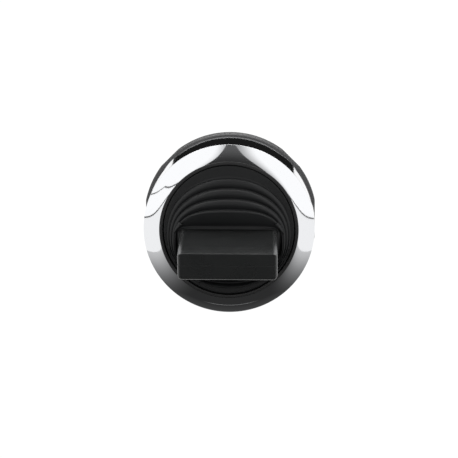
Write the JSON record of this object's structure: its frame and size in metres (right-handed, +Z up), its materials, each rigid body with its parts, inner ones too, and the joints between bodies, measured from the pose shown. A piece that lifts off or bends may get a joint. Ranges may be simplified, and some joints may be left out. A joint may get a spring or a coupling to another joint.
{
  "type": "toggle lever operator head",
  "caption": "Round panel-mounted operator head with a chromed bezel, a ribbed rubber boot and a wide paddle lever that tilts up and down.",
  "frame": {"origin": "centre of the panel hole on the panel's front face, which the gasket's rear face meets", "axes": "+Z up, +Y through the panel to its rear, so the bezel and the lever face -Y, and +X is to the right of a person facing the front"},
  "size_m": [0.0292, 0.0381, 0.0298],
  "materials": {
    "chrome_plating": "mirror-bright chromium plating on cast zinc",
    "black_plastic": "black moulded ring, low sheen",
    "black_rubber": "moulded black rubber, dull with a soft sheen on the folds",
    "housing_plastic": "glass-filled black thermoplastic, matt",
    "gasket_rubber": "black rubber, matt",
    "bronze": "sintered bronze",
    "zinc_plated_steel": "bright zinc plating",
    "spring_steel": "drawn spring steel",
    "paddle_plastic": "black thermoplastic, semi-gloss as moulded",
    "cast_zinc": "die-cast zinc, as cast",
    "ground_steel": "ground and polished",
    "nylon": "natural nylon, slightly waxy"
  },
  "bodies": {
    "head": {"bezel": "chrome_plating", "trim_ring": "black_plastic", "boot": "black_rubber", "housing": "housing_plastic", "panel_gasket": "gasket_rubber", "bezel_seal": "gasket_rubber", "bearing_bushes": "bronze", "stop_buffers": "gasket_rubber", "guide_plate": "housing_plastic", "guide_screws": "zinc_plated_steel", "detent_leaf": "spring_steel", "leaf_screws": "zinc_plated_steel", "upper_spring": "spring_steel", "lower_spring": "spring_steel"},
    "lever": {"paddle": "paddle_plastic", "lever_core": "cast_zinc", "cross_pin": "spring_steel", "pivot_pin": "ground_steel", "pin_clips": "spring_steel", "rocker": "nylon", "rocker_screws": "zinc_plated_steel"},
    "upper_push": {"upper_pusher": "nylon"},
    "lower_push": {"lower_pusher": "nylon"}
  },
  "joints": [
    {"name": "lever_tilt", "type": "hinge", "parent": "head", "child": "lever", "pos_m": [0, -0.0052, 0], "axis": [-1, 0, 0], "range_deg": [0, 30], "deforming": ["boot", "detent_leaf"]},
    {"name": "upper_slide", "type": "slide", "parent": "head", "child": "upper_push", "axis": [0, 1, 0], "range_m": [0, 0.00234], "deforming": ["upper_spring"]},
    {"name": "lower_slide", "type": "slide", "parent": "head", "child": "lower_push", "axis": [0, -1, 0], "range_m": [0, 0.00234], "deforming": ["lower_spring"]}
  ],
  "couplings": [
    {"joint": "upper_slide", "follows": "lever_tilt", "m_per_rad": 0.0044488},
    {"joint": "lower_slide", "follows": "lever_tilt", "m_per_rad": 0.0044488}
  ]
}
